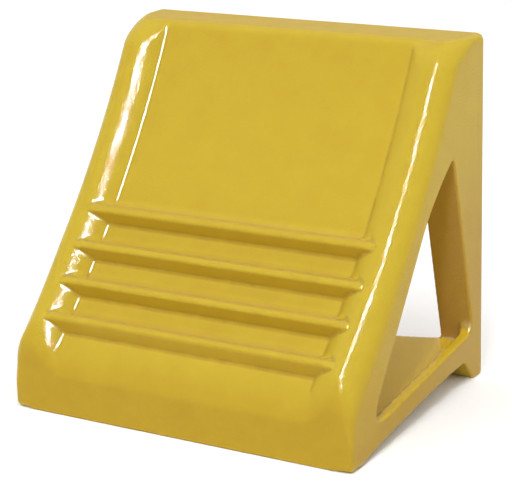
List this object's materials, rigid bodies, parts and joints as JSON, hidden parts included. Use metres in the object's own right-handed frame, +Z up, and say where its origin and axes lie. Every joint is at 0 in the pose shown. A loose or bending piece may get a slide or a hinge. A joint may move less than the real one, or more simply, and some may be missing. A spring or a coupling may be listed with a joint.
{
  "type": "wheel chock",
  "caption": "Portable one-piece moulded wheel chock: concave ribbed ramp between raised rims, windowed sides, arched base with rear feet.",
  "frame": {"origin": "centre of the footprint on the ground plane", "axes": "+X across the chock to the right, +Y from the toe to the rear, +Z up"},
  "size_m": [0.203, 0.155, 0.19],
  "materials": {
    "polyurethane": "satin-gloss moulded yellow polyurethane"
  },
  "bodies": {
    "root": {"nose_block": "polyurethane", "ramp_plate": "polyurethane", "left_rim": "polyurethane", "right_rim": "polyurethane", "top_header": "polyurethane", "left_rear_leg": "polyurethane", "right_rear_leg": "polyurethane", "left_rear_foot": "polyurethane", "right_rear_foot": "polyurethane", "left_base_rail": "polyurethane", "right_base_rail": "polyurethane", "base_floor": "polyurethane", "grip_rib_1": "polyurethane", "grip_rib_2": "polyurethane", "grip_rib_3": "polyurethane", "grip_rib_4": "polyurethane"}
  },
  "joints": []
}
